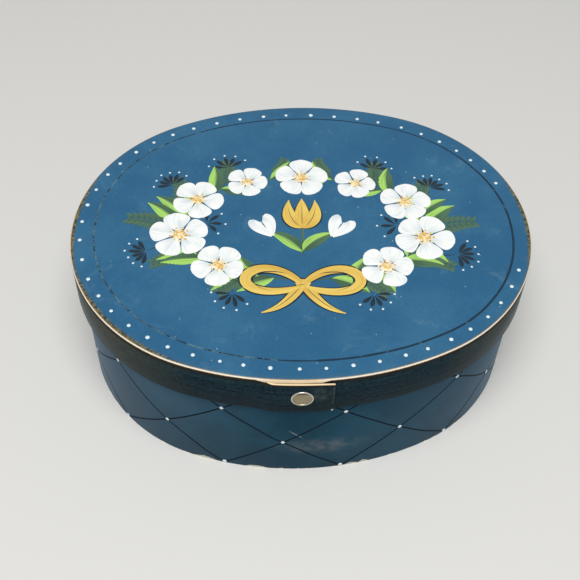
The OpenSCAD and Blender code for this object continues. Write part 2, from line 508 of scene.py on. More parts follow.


# Nickel plate on pressed steel has a warm grey shine, bright on the rolled edge and dulled by
# scratches and tarnish on the face. A painted shadow darkens the corner between the two at the top.
FINE_SCRATCH = 0.0004
TARNISH = 0.0016
PAINTED_SHADE_R = 0.71 * CAP_R
PAINTED_SHADE_W = 0.12 * CAP_R
PAINTED_SHADE_LOW = 0.40 * CAP_R
PAINTED_SHADE_HIGH = 0.75 * CAP_R
ROLL_FROM = 0.86 * CAP_R
ROLL_TO = 0.89 * CAP_R
nickel, add, shader, place = new_finish("nickel_plated_steel")
radius = add("Attribute", attribute_name="radius").outputs["Fac"]
height = add("Attribute", attribute_name="height").outputs["Fac"]
tarnish = add("TexNoise", {"Vector": place, "Scale": 1 / TARNISH, "Detail": 3.0, "Roughness": 0.6})
face = add("Mix", {0: tarnish, 6: "#B0A68B", 7: "#7D7257"}, data_type="RGBA")
# Painted shadow: a dark ring in the corner of the dish, only towards the top of the cap, under the rolled
# edge.
in_corner = add("Math", {0: radius, 1: PAINTED_SHADE_R, 2: PAINTED_SHADE_W}, operation="COMPARE")
shade_towards_top = add("MapRange", {"Value": height, "From Min": PAINTED_SHADE_LOW, "From Max": PAINTED_SHADE_HIGH})
cap_painted_shade = add("Math", {0: in_corner, 1: shade_towards_top}, operation="MULTIPLY")
shaded_face = add("Mix", {0: cap_painted_shade, 6: face, 7: "#2E2A20"}, data_type="RGBA")
rolled = add("MapRange", {"Value": radius, "From Min": ROLL_FROM, "From Max": ROLL_TO})
metal = add("Mix", {0: rolled, 6: shaded_face, 7: "#CCC9BE"}, data_type="RGBA")
scratches = add("TexNoise", {"Vector": place, "Scale": 1 / FINE_SCRATCH, "Detail": 2.0})
dull = add("MapRange", {"Value": scratches, "To Min": 0.26, "To Max": 0.44})
polish = add("MapRange", {"Value": rolled, "To Min": 1.0, "To Max": 1.1})
sheen = add("Math", {0: dull, 1: polish}, operation="MULTIPLY")
bump = add("Bump", {"Height": scratches, "Strength": 0.1, "Distance": RELIEF / 4})
set_inputs(shader, {"Base Color": metal, "Roughness": sheen, "Normal": bump, "Metallic": 1.0})

for row, z in BODY_RIVETS:
    names = ("body_rivet_cap_" + row, "body_rivet_post_" + row)
    add_rivet(names, FORM_L / 2, BAND_T + BODY_LAP_T, z, BAND_T + BODY_LAP_T, "box")


# Lid's rim band: a narrow strip of the same wood, bent round the same form but a little looser,
# lapped and riveted at the front, where its outer end is shaved. Only its outside is painted, in black.
LID_INNER = 0.0026
LID_OUTER = LID_INNER + BAND_T
RIM_TOP = BODY_H
LID_LAP_T = 0.0011
LID_LAP_END = 0.005
LID_LAP_L = 0.022
LID_RAMP_L = 0.010
LID_SPRING = 0.0005
LID_RIVET_S = -0.007
LID_RIVET_Z = 0.0598

# Black craft paint shows brush drag along the strip, a dusty haze with a painted sheen towards both
# ends, and grey rubs by the rivet and down the lap's end. It browns below the top, stops in a brown
# stain at the bare edges, covers the top edge up to the lap's ramp, and is chipped at the lap's lower
# corner.
DRAG_L = 0.030
DRAG_W = 0.0008
RUB = 0.004
RIM_DUST_AND_SHEEN_FROM = 0.050
RIM_DUST_AND_SHEEN_TO = 0.098
SMUDGE_AT = (LID_LAP_END - 0.0050, LID_LOW + 0.0118, 1.0)
SMUDGE_R = 0.0050
END_RUB_FROM = LID_LAP_END - 0.0008
END_RUB_TO = LID_LAP_END - 0.0004
BROWN_LOW = RIM_TOP - 0.0013
BROWN_HIGH = RIM_TOP - 0.0003
WRAP_LOW = LID_LOW + 0.0003
WRAP_HIGH = LID_LOW + 0.0010
LAP_BARE = -0.0185
LAP_COVERED = LAP_BARE - 0.0042
CHIP_AT = (LID_LAP_END - 0.0003, LID_LOW + 0.0006, 1.0)
CHIP_R = 0.0007
CHIP_FRAY = 0.004
rim_paint, add, shader, place = new_finish("black_craft_paint_on_basswood")
along, side, across, up = strip_places(add, place)
on_strip = add("CombineXYZ", {"X": along, "Y": up, "Z": side})
in_wood = add("VectorMath", {0: on_strip, 1: (1, 1, BAND_T)}, operation="MULTIPLY")
wood = basswood(add, in_wood)[0]
in_drag = add("VectorMath", {0: on_strip, 1: (1 / DRAG_L, 1 / DRAG_W, 0)}, operation="MULTIPLY")
drag = add("TexNoise", {"Vector": in_drag, "Scale": 1.0, "Detail": 4.0})
grit = add("TexNoise", {"Vector": place, "Scale": 1 / SPECK, "Detail": 3.0})
gritty = add("Math", {0: drag, 1: grit})
uneven = add("MapRange", {"Value": gritty, "From Min": 0.74, "From Max": 1.26})
# Painted shade: the black is mixed darker towards the bottom of the rim, paler towards its top.
painted_shade_by_height = add(
    "MapRange", {"Value": up, "From Min": LID_LOW, "From Max": RIM_TOP, "To Min": 0.45, "To Max": 1.25})
pale = add("Math", {0: uneven, 1: painted_shade_by_height}, operation="MULTIPLY")
black = add("Mix", {0: pale, 6: "#07171F", 7: "#1F373F"}, data_type="RGBA")
rub = add("TexNoise", {"Vector": on_strip, "Scale": 1 / RUB, "Detail": 4.0, "Roughness": 0.65})
# Dust and painted sheen: a grey olive is mixed in towards both ends, less towards the bottom, lightening
# the black where light glances off the ends.
from_middle = add("Math", {0: across}, operation="ABSOLUTE")
dust_and_sheen = add(
    "MapRange",
    {"Value": from_middle, "From Min": RIM_DUST_AND_SHEEN_FROM, "From Max": RIM_DUST_AND_SHEEN_TO, "To Max": 0.62})
mottle = add("MapRange", {"Value": rub, "From Min": 0.3, "From Max": 0.7, "To Min": 0.6, "To Max": 1.2})
mottled = add("Math", {0: dust_and_sheen, 1: mottle}, operation="MULTIPLY")
dust_and_sheen_by_height = add(
    "MapRange", {"Value": up, "From Min": LID_LOW, "From Max": RIM_TOP, "To Min": 0.5, "To Max": 1.0})
rim_dust_and_sheen = add("Math", {0: mottled, 1: dust_and_sheen_by_height}, operation="MULTIPLY")
dust_and_sheen_paint = add("Mix", {0: rim_dust_and_sheen, 6: black, 7: "#666552"}, data_type="RGBA")
far = add("VectorMath", {0: on_strip, 1: SMUDGE_AT}, operation="DISTANCE")
smudge = add("MapRange", {"Value": far, "From Max": SMUDGE_R, "To Min": 0.8, "To Max": 0.0})
at_end = add(
    "MapRange", {"Value": along, "From Min": END_RUB_FROM, "From Max": END_RUB_TO, "To Max": 0.45})
rubs_and_sheen = add("Math", {0: smudge, 1: at_end}, operation="MAXIMUM")
greyed = add("MapRange", {"Value": rub, "From Min": 0.40, "From Max": 0.70, "To Max": 0.5})
dusty = add("Math", {0: greyed, 1: rubs_and_sheen}, operation="MULTIPLY")
paint = add("Mix", {0: dusty, 6: dust_and_sheen_paint, 7: "#8E8F8B"}, data_type="RGBA")
at_top = add("MapRange", {"Value": up, "From Min": BROWN_LOW, "From Max": BROWN_HIGH, "To Max": 0.85})
browned = add("Mix", {0: at_top, 6: paint, 7: "#231C0E"}, data_type="RGBA")
frayed = add(
    "MapRange", {"Value": rub, "From Min": 0.3, "From Max": 0.7, "To Min": -0.06, "To Max": 0.06})
wrapped = add(
    "MapRange", {"Value": up, "From Min": WRAP_LOW, "From Max": WRAP_HIGH, "To Min": 1.15, "To Max": 1.0})
reached = add("Math", {0: side, 1: wrapped}, operation="MULTIPLY")
covered = add(
    "MapRange",
    {"Value": along, "From Min": LAP_COVERED, "From Max": LAP_BARE, "To Min": 1.0, "To Max": 0.0})
overrun = add("Math", {0: reached, 1: covered})
edge = add("Math", {0: overrun, 1: frayed})
stained = add("MapRange", {"Value": edge, "From Min": 0.74, "From Max": 0.86})
outside = add("MapRange", {"Value": edge, "From Min": 0.87, "From Max": 0.92})
far = add("VectorMath", {0: on_strip, 1: CHIP_AT}, operation="DISTANCE")
chip_edge = add("Math", {0: frayed, 1: CHIP_FRAY, 2: far}, operation="MULTIPLY_ADD")
unchipped = add("MapRange", {"Value": chip_edge, "From Min": 0.8 * CHIP_R, "From Max": CHIP_R})
fresh = add("Mix", {0: 0.5, 6: wood, 7: "#EADBBB"}, data_type="RGBA")
bare = add("Mix", {0: stained, 6: fresh, 7: "#5E3E1C"}, data_type="RGBA")
coated = add("Mix", {0: outside, 6: bare, 7: browned}, data_type="RGBA")
colour = add("Mix", {0: unchipped, 6: "#C6CBCB", 7: coated}, data_type="RGBA")
painted_surface(add, shader, DUSTY_SKIN, colour, outside, drag, satin=0.45, depth=0.2)

bm = bent_strip(
    LID_INNER, LID_LOW, RIM_TOP, LID_LAP_T, LID_LAP_END, LID_LAP_L, LID_RAMP_L, LID_SPRING)
lid_band = add_piece("bent_lid_band", bm, rim_paint, "lid")
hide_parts("lid_band")
add_rivet(
    ("lid_rivet_cap", "lid_rivet_post"), LID_RIVET_S, LID_OUTER + LID_LAP_T, LID_RIVET_Z,
    BAND_T + LID_LAP_T, "lid")


# Lid's top panel: an oval of thin basswood, glued on to the rim band's top edge, trimmed flush with
# it and rounded over. Its top is painted blue, while its round edge and its underside are bare.
LID_TOP = RIM_TOP + 0.002
PANEL_ROUND = 0.0010
PANEL_STEPS = 320
WEAR_W = 0.0028

# The same satin blue, a little brighter than on the body, with paler scuffs. It is rubbed through
# to dirty brown wood in specks along the edge, most at the front left and at the right, and flecked
# with white. The bare edge is toasted next to the blue. The rim's black runs up over the joint on to
# it, except above the lap, where the wood is tanner.
LID_GLOSS = 0.25
LID_SKIN = {"Specular IOR Level": LID_GLOSS}
SCUFF_L = 0.016
FLECK_GAP = 0.013
FLECK_R = 0.0003
WEAR = 0.0007
WEAR_LEAST = 0.25
WEAR_AT = (
    ((-0.078, -0.044, LID_TOP), 0.041), ((-0.102, 0.010, LID_TOP), 0.036),
    ((0.0995, -0.003, LID_TOP), 0.032))
BLUE_FROM = LID_TOP - 0.00014
BLUE_TO = LID_TOP - 0.00009
TOAST_FROM = LID_TOP - 0.00036
TOAST_TO = LID_TOP - 0.00016
LAP_MIDDLE = (-0.0110, -0.084, RIM_TOP)
LAP_CLEAN = 0.0107
LAP_BLACK = 0.0149
BLACK_AT_LAP = RIM_TOP - 0.0003
BLACK_ROUND = RIM_TOP + 0.0011
TAN_FROM = 0.0150
TAN_TO = 0.0090
lid_paint, add, shader, place = new_finish("blue_craft_paint_on_basswood_panel")
up = add("SeparateXYZ", {0: place}).outputs["Z"]
inset = add("Attribute", attribute_name="inset").outputs["Fac"]
wood = basswood(add, place)[0]
coat, brushed = blue_paint(add, place, "#265E83", "#32698C", "#1B445C")
scuffs = add(
    "TexNoise",
    {"Vector": place, "Scale": 1 / SCUFF_L, "Detail": 6.0, "Roughness": 0.72, "Distortion": 0.6})
scuffed = add("MapRange", {"Value": scuffs, "From Min": 0.59, "From Max": 0.81, "To Max": 0.38})
rubbed_coat = add("Mix", {0: scuffed, 6: coat, 7: "#7796A6"}, data_type="RGBA")
flecks = add("TexVoronoi", {"Vector": place, "Scale": 1 / FLECK_GAP}, voronoi_dimensions="2D")
fleck = add(
    "MapRange",
    {"Value": flecks, "From Min": 0.5 * FLECK_R / FLECK_GAP, "From Max": FLECK_R / FLECK_GAP,
     "To Min": 1.0, "To Max": 0.0})
shade = add("SeparateColor", {0: flecks.outputs["Color"]})
faint = add("MapRange", {"Value": shade, "From Min": 0.5, "From Max": 1.0, "To Max": 0.7})
flecked = add("Math", {0: fleck, 1: faint}, operation="MULTIPLY")
paint = add("Mix", {0: flecked, 6: rubbed_coat, 7: "#C4D6DC"}, data_type="RGBA")
outward = add("MapRange", {"Value": inset, "From Max": WEAR_W, "To Min": 1.0, "To Max": 0.0})
at_edge = add("Math", {0: outward, 1: 2.0}, operation="POWER")
worn = WEAR_LEAST
for middle, reach in WEAR_AT:
    far = add("VectorMath", {0: place, 1: middle}, operation="DISTANCE")
    near = add(
        "MapRange",
        {"Value": far, "From Min": 0.3 * reach, "From Max": reach, "To Min": 1.0, "To Max": WEAR_LEAST})
    worn = add("Math", {0: worn, 1: near}, operation="MAXIMUM")
edge_worn = add("Math", {0: at_edge, 1: worn}, operation="MULTIPLY")
rub = add("TexNoise", {"Vector": place, "Scale": 1 / WEAR, "Detail": 4.0, "Roughness": 0.7})
speckled = add("Math", {0: edge_worn, 1: 0.50, 2: rub}, operation="MULTIPLY_ADD")
rubbed = add("MapRange", {"Value": speckled, "From Min": 0.63, "From Max": 0.83, "To Max": 0.95})
dirt = add("MapRange", {"Value": brushed, "From Min": 0.40, "From Max": 0.66})
golden = add("Mix", {0: dirt, 6: "#2E2C1B", 7: "#857848"}, data_type="RGBA")
aged = add("Mix", {0: rubbed, 6: paint, 7: golden}, data_type="RGBA")
frayed = add(
    "MapRange", {"Value": rub, "From Min": 0.3, "From Max": 0.7, "To Min": -0.0001, "To Max": 0.0001})
level = add("Math", {0: frayed, 1: 0.3, 2: up}, operation="MULTIPLY_ADD")
topside = add("MapRange", {"Value": level, "From Min": BLUE_FROM, "From Max": BLUE_TO})
toasted = add("MapRange", {"Value": level, "From Min": TOAST_FROM, "From Max": TOAST_TO, "To Max": 0.8})
from_lap = add("VectorMath", {0: place, 1: LAP_MIDDLE}, operation="DISTANCE")
overpaint = add(
    "MapRange",
    {"Value": from_lap, "From Min": LAP_CLEAN, "From Max": LAP_BLACK,
     "To Min": BLACK_AT_LAP, "To Max": BLACK_ROUND})
above = add("Math", {0: up, 1: overpaint}, operation="SUBTRACT")
above_edge = add("Math", {0: above, 1: frayed})
stained = add(
    "MapRange", {"Value": above_edge, "From Min": 0.0, "From Max": 0.0003, "To Min": 0.9, "To Max": 0.0})
blackened = add(
    "MapRange",
    {"Value": above_edge, "From Min": -0.0001, "From Max": 0.00005, "To Min": 1.0, "To Max": 0.0})
bleached = add(
    "MapRange",
    {"Value": from_lap, "From Min": TAN_TO, "From Max": TAN_FROM, "To Min": 0.30, "To Max": 0.80})
fresh = add("Mix", {0: bleached, 6: wood, 7: "#FBF4E2"}, data_type="RGBA")
browned = add("Math", {0: toasted, 1: stained}, operation="MAXIMUM")
edge_wood = add("Mix", {0: browned, 6: fresh, 7: "#6B4A22"}, data_type="RGBA")
edge_paint = add("Mix", {0: blackened, 6: edge_wood, 7: "#1A150B"}, data_type="RGBA")
colour = add("Mix", {0: topside, 6: edge_paint, 7: aged}, data_type="RGBA")
painted_surface(add, shader, LID_SKIN, colour, topside, brushed, satin=0.42, depth=0.15)

bm = bmesh.new()
from_edge = bm.verts.layers.float.new("inset")
bmesh.ops.create_circle(bm, cap_ends=True, segments=PANEL_STEPS, radius=1)
for vert in bm.verts:
    s = math.atan2(vert.co.x, -vert.co.y) / (2 * math.pi) * FORM_L
    vert.co = on_form(s, LID_OUTER, RIM_TOP)
raised = bmesh.ops.extrude_face_region(bm, geom=bm.faces[:])
top_verts = [v for v in raised["geom"] if isinstance(v, bmesh.types.BMVert)]
bmesh.ops.translate(bm, vec=(0, 0, LID_TOP - RIM_TOP), verts=top_verts)
bmesh.ops.recalc_face_normals(bm, faces=bm.faces)
top_edges = [e for e in bm.edges if all(v in top_verts for v in e.verts)]
bmesh.ops.bevel(
    bm, geom=top_edges, offset=PANEL_ROUND, affect="EDGES", segments=4, profile=0.5, material=-1)
top = max(bm.faces, key=lambda f: f.calc_center_median().z)
for _ in range(2):
    bmesh.ops.inset_region(bm, faces=[top], thickness=WEAR_W, use_even_offset=True)
    for vert in top.verts:
        vert[from_edge] += WEAR_W
lid_panel = add_piece("painted_lid_panel", bm, lid_paint, "lid")
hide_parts("lid_panel")


# Border on the lid: white dots set down with the end of a brush handle, and inside them a dark
# line drawn by eye, so that both wander. Handling has worn dots and stretches of line away.
BORDER_COUNT = 52
BORDER_S = 0.0023
BORDER_STEP = FORM_L / BORDER_COUNT
BORDER_GONE = range(11, 15)
BORDER_WANDER = 0.0012
BORDER_DOT_R = 0.00082
BORDER_DOT_VARY = 0.2
BORDER_W = 0.0010
BORDER_LINE_STEPS = 500
BORDER_SWAY = 0.0002
FULL_BRUSH_END = math.radians(140)
FULL_BRUSH_FADE = math.radians(20)
WORN_FROM = math.radians(200)
WORN_FROM_FADE = math.radians(15)
WORN_TO = math.radians(345)
WORN_TO_FADE = math.radians(10)
WORN_DASH = 0.005
WORN_LEAST = 0.02
WORN_MORE = 0.13
MM = 0.001


def on_lid(s, inward, h):
    """The place on the lid, inward from its edge at s along the form, and h up"""
    return on_form(s, LID_OUTER - inward, LID_TOP + h)


def lid_dot(bm, at, radius, rise):
    """Sets a dome of paint down flat on the lid"""
    paint_dot(bm, Matrix.Translation(at), radius, rise)


def dot_inset(turn):
    """How far the dots lie in from the lid's edge"""
    wave = 0.62 * math.cos(2 * turn) - math.sin(2 * turn)
    return MM * (5.15 - 0.4 * math.cos(turn) + 0.37 * math.sin(turn) + wave)


def dot_drift(turn):
    """How far the dots stray along the edge from even steps, since they were set by eye"""
    waves = 0.8 * math.sin(2 * turn) - 1.5 * math.sin(3 * turn) + 1.3 * math.sin(4 * turn)
    return MM * (0.9 * math.cos(turn) - 2.1 * math.sin(turn) + waves - 0.9)


def line_inset(turn):
    """How far the line lies in from the lid's edge"""
    return MM * (9.15 - 0.91 * math.sin(turn) - 0.78 * math.sin(2 * turn))


def border_line(t):
    """Course of the line, from the middle of the front to the right and round"""
    sway = noise.noise((5.0 * math.cos(2 * math.pi * t), 5.0 * math.sin(2 * math.pi * t), 4.0))
    return Vector((FORM_L * t, line_inset(heading(FORM_L * t)) + BORDER_SWAY * sway))


def border_press(t):
    """The brush was fuller along the right"""
    fresh = ease((FULL_BRUSH_END - heading(FORM_L * t)) / FULL_BRUSH_FADE)
    return 0.7 + 0.3 * fresh + 0.15 * noise.noise((t * 90, 0, 0))


# The same navy line, broken where it has worn back to a dull green-blue.
worn_line, add, shader, place = new_finish("worn_navy_craft_paint")
worn = add("Attribute", attribute_name="worn").outputs["Fac"]
dashes = add("TexNoise", {"Vector": place, "Scale": 1 / WORN_DASH, "Detail": 5.0, "Roughness": 0.75})
rubbed = add("Math", {0: dashes, 1: worn})
gone = add("MapRange", {"Value": rubbed, "From Min": 0.60, "From Max": 0.74, "To Max": 0.75})
colour = add("Mix", {0: gone, 6: "#0F2D40", 7: "#5F8490"}, data_type="RGBA")
set_inputs(shader, {"Base Color": colour, "Roughness": 0.45, "Specular IOR Level": LID_GLOSS})

bm = bmesh.new()
bm.loops.layers.uv.new("stroke")
worn = bm.verts.layers.float.new("worn")
brush_stroke(
    bm, on_lid, border_line, BORDER_W, border_press, LINE_RISE, steps=BORDER_LINE_STEPS, across=2)
bmesh.ops.remove_doubles(bm, verts=bm.verts, dist=1e-6)
for vert in bm.verts:
    turn = math.atan2(vert.co.x, -vert.co.y) % (2 * math.pi)
    old = ease((turn - WORN_FROM) / WORN_FROM_FADE) - ease((turn - WORN_TO) / WORN_TO_FADE)
    vert[worn] = WORN_LEAST + WORN_MORE * old
dry(bm, STROKE_DEEP)
add_piece("lid_border_line", bm, worn_line, "lid")

bm = bmesh.new()
for number in range(BORDER_COUNT):
    if number in BORDER_GONE:
        continue
    stepped = BORDER_S + number * BORDER_STEP
    s = stepped + dot_drift(heading(stepped)) + BORDER_WANDER * noise.noise((number * 1.7, 0.3, 0.6))
    inward = dot_inset(heading(s)) + 0.3 * BORDER_WANDER * noise.noise((number * 2.3, 0.8, 0.1))
    size = BORDER_DOT_R * (1 + BORDER_DOT_VARY * noise.noise((number * 1.3, 4.2, 0.5)))
    lid_dot(bm, on_lid(s, inward, 0), size, DOT_RISE)
add_piece("lid_border_dots", bm, white_dot, "lid")


# Design on the lid: a wreath tied with a bow, round a tulip and two hearts, in the plain stroke work
# of folk painting. Each petal, leaf and ribbon is one press of a round brush in thick paint.
DESIGN_TURN = math.radians(-4.55)
STROKE_RISE = 0.0001
THIN_RISE = 0.00004
STEM_LIFT = 0.0
FROND_LIFT = 0.00002
LEAF_LIFT = 0.00004
VEIN_LIFT = 0.00010
OUTLINE_LIFT = 0.00012
OCHRE_LIFT = 0.00016
DETAIL_LIFT = 0.00024
PETAL_LIFT = 0.00016
PETAL_OVERLAP = 0.00001
MIDDLE_LIFT = 0.00022
MIDDLE_RISE = 0.0004
BEAD_RISE = 0.0002
SPRAY_DOT_R = 0.0005
SPRAY_DOT_RISE = 0.00015
SHORT_STEPS = 8
RIBBON_STEPS = 32
WREATH_STEPS = 60

# The layout is in mm from the middle of the lid, which lid_layer turns to metres. The wreath's two
# halves run up from the bow, each between two turns in degrees.
WREATH_HALF_W = 54
WREATH_HALF_H = 31
WREATH_FROM = 6
WREATH_TO = 178
WREATH_STEM_W = 1.3
TULIP_STEM_W = 1.2
HEART_STEM_W = 1.1
FROND_STEM_W = 0.8
FROND_STEPS = 9
FROND_W = 2.0
LEAF_BEND = math.radians(14)
VEIN_W = 0.6
SPRAY_STEM_W = 0.7
SPRAY_OPEN = math.radians(140)
SPRAY_DROP = 7.0
SPRAY_DROP_W = 1.9
SPRAY_DOT = 8.6
BOW_LOOP_W = 4.6
BOW_TAIL_W = 4.2
BOW_KNOT_W = 6.0
TULIP_W = 6.4
OUTLINE_W = 1.4
FOLD_W = 0.5

# A blossom's petals, middle and ring of beads, with their radii as shares of the blossom's size.
PETAL_COUNT = 5
MIDDLE_SHARE = 0.115
BEAD_COUNT = 9
BEAD_SHARE = 0.026
BEAD_RING = 0.15

# What grows on each half of the wreath: its turn from the bow and its lean outwards, in degrees, then
# its length in mm, with a leaf's width or the number of drops in a spray. A blossom has a size alone.
FRONDS = ((24, 55, 17), (57, 62, 20), (86, 70, 24), (106, 40, 22), (138, 58, 19), (166, 62, 15))
LEAVES = (
    (13, 34, 17, 7.0), (20, -42, 14, 6.0), (31, 66, 15, 6.5), (51, 44, 18, 7.5), (56, -46, 14, 6.0),
    (64, 78, 15, 6.5), (92, 52, 19, 7.5), (97, -48, 14, 6.0), (104, 74, 16, 6.5), (109, 26, 14, 6.0),
    (133, 60, 17, 7.0), (138, -44, 13, 5.5), (165, 46, 15, 6.0), (168, -42, 12, 5.0))
SPRAYS = ((27, 84, 12, 5), (67, 66, 17, 6), (111, 62, 16, 6), (146, 84, 12, 5), (84, -80, 13, 4))
BLOSSOMS = ((41, 23), (79, 26), (121, 23), (153, 19))


def lid_layer(lift):
    """Puts a part of the design, in millimetres, on the lid at a layer of paint"""
    turned = Matrix.Rotation(DESIGN_TURN, 2)

    def place(u, v, h):
        flat = turned @ Vector((u, v)) * MM
        return Vector((flat.x, flat.y, LID_TOP + lift + h))

    return place


def curve(*points):
    """The smooth course that the points steer"""
    def path(t):
        level = [Vector(p) for p in points]
        while len(level) > 1:
            level = [a.lerp(b, t) for a, b in zip(level, level[1:])]
        return level[0]

    return path


def pressed(peak, fullness):
    """A brush pressed hardest at a peak along the stroke, and lifted at both ends"""
    power = math.log(0.5) / math.log(peak)
    return lambda t: max(math.sin(math.pi * t ** power), 0.05) ** fullness


def direction(turn):
    """A step of 1 mm at a turn from straight right"""
    return Vector((math.cos(turn), math.sin(turn)))


def wreath_at(turn, hand, outward=0):
    """Place on the wreath, at a turn from the bow on the right or left, and the heading of what leans
    outwards there from the wreath's way up"""
    turn = math.radians(turn)
    at = Vector((hand * WREATH_HALF_W * math.sin(turn), -WREATH_HALF_H * math.cos(turn)))
    ahead = Vector((hand * WREATH_HALF_W * math.cos(turn), WREATH_HALF_H * math.sin(turn)))
    return at, math.atan2(ahead.y, ahead.x) - hand * math.radians(outward)


PETAL = pressed(0.66, 0.55)
LEAF = pressed(0.42, 0.85)
TRAIL = pressed(0.25, 0.6)
RIBBON = pressed(0.5, 0.25)
COMMA = pressed(0.32, 0.45)

stems, leaves, lines, petals, ochre, drops, middles, dots = [bmesh.new() for _ in range(8)]
strokes = (stems, leaves, lines, petals, ochre, drops)
for bm in strokes:
    bm.loops.layers.uv.new("stroke")


def stem(path, width, steps=STROKE_STEPS):
    """A thin olive stalk, drawn first"""
    brush_stroke(stems, lid_layer(STEM_LIFT), path, width, RIBBON, THIN_RISE, steps=steps, across=2)


def leaf(at, turn, length, width, bend):
    """A leaf pulled out from its stalk, with a vein drawn on it"""
    path = curve(at, at + direction(turn + bend) * length * 0.55, at + direction(turn) * length)
    brush_stroke(leaves, lid_layer(LEAF_LIFT), path, width, LEAF, STROKE_RISE)
    vein = curve(path(0.05), path(0.45), path(0.85))
    brush_stroke(lines, lid_layer(VEIN_LIFT), vein, VEIN_W, TRAIL, THIN_RISE, across=2)


def frond(at, turn, length, hand):
    """A wispy spray of short olive strokes in pairs along a thin stalk"""
    stalk = curve(at, at + direction(turn + hand * 0.3) * length * 0.5, at + direction(turn) * length)
    stem(stalk, FROND_STEM_W)
    for number in range(2, FROND_STEPS):
        root = stalk(number / FROND_STEPS)
        reach = length * (0.40 - 0.026 * number)
        for lean in (-0.75, 0.75):
            bow = root + direction(turn + lean * 1.3) * reach * 0.5
            path = curve(root, bow, root + direction(turn + lean) * reach)
            brush_stroke(
                stems, lid_layer(FROND_LIFT), path, FROND_W, LEAF, THIN_RISE, steps=SHORT_STEPS)


def blossom(at, size, turn):
    """Five white petals pressed outwards from a stippled middle"""
    for number in range(PETAL_COUNT):
        way = turn + number * math.tau / PETAL_COUNT
        reach = size / 2 * (1 + 0.07 * noise.noise((at.x, at.y, number * 3.7)))
        bend = 0.25 * noise.noise((at.y, number * 2.1, at.x))
        path = curve(
            at + direction(way) * size * 0.06, at + direction(way + bend) * reach * 0.6,
            at + direction(way) * reach)
        lift = PETAL_LIFT + number * PETAL_OVERLAP
        brush_stroke(petals, lid_layer(lift), path, size * 0.45, PETAL, STROKE_RISE)
    place = lid_layer(MIDDLE_LIFT)
    lid_dot(middles, place(at.x, at.y, 0), MIDDLE_SHARE * size * MM, MIDDLE_RISE)
    for number in range(BEAD_COUNT):
        bead = at + direction(number * math.tau / BEAD_COUNT + turn) * size * BEAD_RING
        lid_dot(middles, place(bead.x, bead.y, 0), BEAD_SHARE * size * MM, BEAD_RISE)


def spray(at, turn, reach, count):
    """A fan of navy drops at the end of a thin stalk, with a white dot beyond each drop"""
    middle = at + direction(turn) * reach
    stalk = curve(at, at + direction(turn - 0.4) * reach * 0.6, middle)
    brush_stroke(lines, lid_layer(STEM_LIFT), stalk, SPRAY_STEM_W, TRAIL, THIN_RISE, across=2)
    for number in range(count):
        way = turn + SPRAY_OPEN * (number / (count - 1) - 0.5)
        long = SPRAY_DROP * (1 + 0.2 * noise.noise((middle.x, middle.y, number * 1.9)))
        path = curve(
            middle + direction(way), middle + direction(way + 0.1) * 4, middle + direction(way) * long)
        brush_stroke(
            drops, lid_layer(FROND_LIFT), path, SPRAY_DROP_W, PETAL, STROKE_RISE, steps=SHORT_STEPS)
        tip = middle + direction(way) * (long + SPRAY_DOT - SPRAY_DROP)
        lid_dot(dots, lid_layer(STEM_LIFT)(tip.x, tip.y, 0), SPRAY_DOT_R, SPRAY_DOT_RISE)


def heart(at, turn, size):
    """Two white comma strokes, side by side, whose tails meet at a point"""
    for aside in (1, -1):
        head = at + direction(turn - aside * 0.16) * size
        bow = at + direction(turn - aside * 0.47) * size * 0.92
        path = curve(head, bow, at)
        brush_stroke(petals, lid_layer(PETAL_LIFT), path, size * 0.48, COMMA, STROKE_RISE)


def ribbon(points, width, press):
    """A stroke of ochre with a dark outline round it and a thin dark line along it"""
    course = curve(*points)
    outline_w = width + OUTLINE_W
    brush_stroke(lines, lid_layer(OUTLINE_LIFT), course, outline_w, press, THIN_RISE, steps=RIBBON_STEPS)
    brush_stroke(ochre, lid_layer(OCHRE_LIFT), course, width, press, STROKE_RISE, steps=RIBBON_STEPS)
    fold = curve(*[course(0.12 + 0.15 * number) for number in range(6)])
    brush_stroke(lines, lid_layer(DETAIL_LIFT), fold, FOLD_W, TRAIL, THIN_RISE, across=2)


def wreath_stem(hand):
    """Course of one half of the wreath"""
    return lambda t: wreath_at(WREATH_FROM + (WREATH_TO - WREATH_FROM) * t, hand)[0]


for hand in (1, -1):
    stem(wreath_stem(hand), WREATH_STEM_W, steps=WREATH_STEPS)
    for turn, outward, length in FRONDS:
        frond(*wreath_at(turn, hand, outward), length, hand)
    for turn, outward, length, width in LEAVES:
        bend = hand * math.copysign(LEAF_BEND, outward)
        leaf(*wreath_at(turn, hand, outward), length, width, bend)
    for turn, outward, reach, count in SPRAYS:
        spray(*wreath_at(turn, hand, outward), reach, count)
    for turn, size in BLOSSOMS:
        at, ahead = wreath_at(turn, hand)
        # The turn's degrees, taken as radians here, face each blossom another way.
        blossom(at, size, ahead + turn)
    loop = ((0, -34), (hand * 12, -18), (hand * 34, -22), (hand * 30, -46), (0, -35))
    ribbon(loop, BOW_LOOP_W, RIBBON)
    tail = ((0, -34), (hand * 5, -40), (hand * 7, -46), (hand * 17, -49))
    ribbon(tail, BOW_TAIL_W, TRAIL)
    leaf(Vector((0, -15)), math.radians(90 - hand * 52), 18, 6.5, hand * 0.35)
    stem(curve((0, -15), (hand * 2, -8), (hand * 13, -6)), HEART_STEM_W)
    heart(Vector((hand * 13, -6)), math.radians(90 - hand * 30), 12)

blossom(wreath_at(180, 1)[0], 24, math.radians(90))
stem(curve((0, -17), (0.6, -8), (0, 0)), TULIP_STEM_W)
base = Vector((0, -1))
for lean in (-0.5, 0.5, 0.0):
    way = math.radians(90) + lean
    petal = (base, base + direction(way + lean) * 9, base + direction(way - lean * 0.35) * 18)
    ribbon(petal, TULIP_W, LEAF)
ribbon(((-2.6, -34.5), (0, -33.2), (2.6, -34.5)), BOW_KNOT_W, RIBBON)

# The brush's hairs leave streaks: noise cells along and across each stroke, and then cells per metre of
# the lid, so that no two strokes look alike.
HAIRS = (1.5, 14, 1)
HAIR_SHIFT = (60, 60, 60)


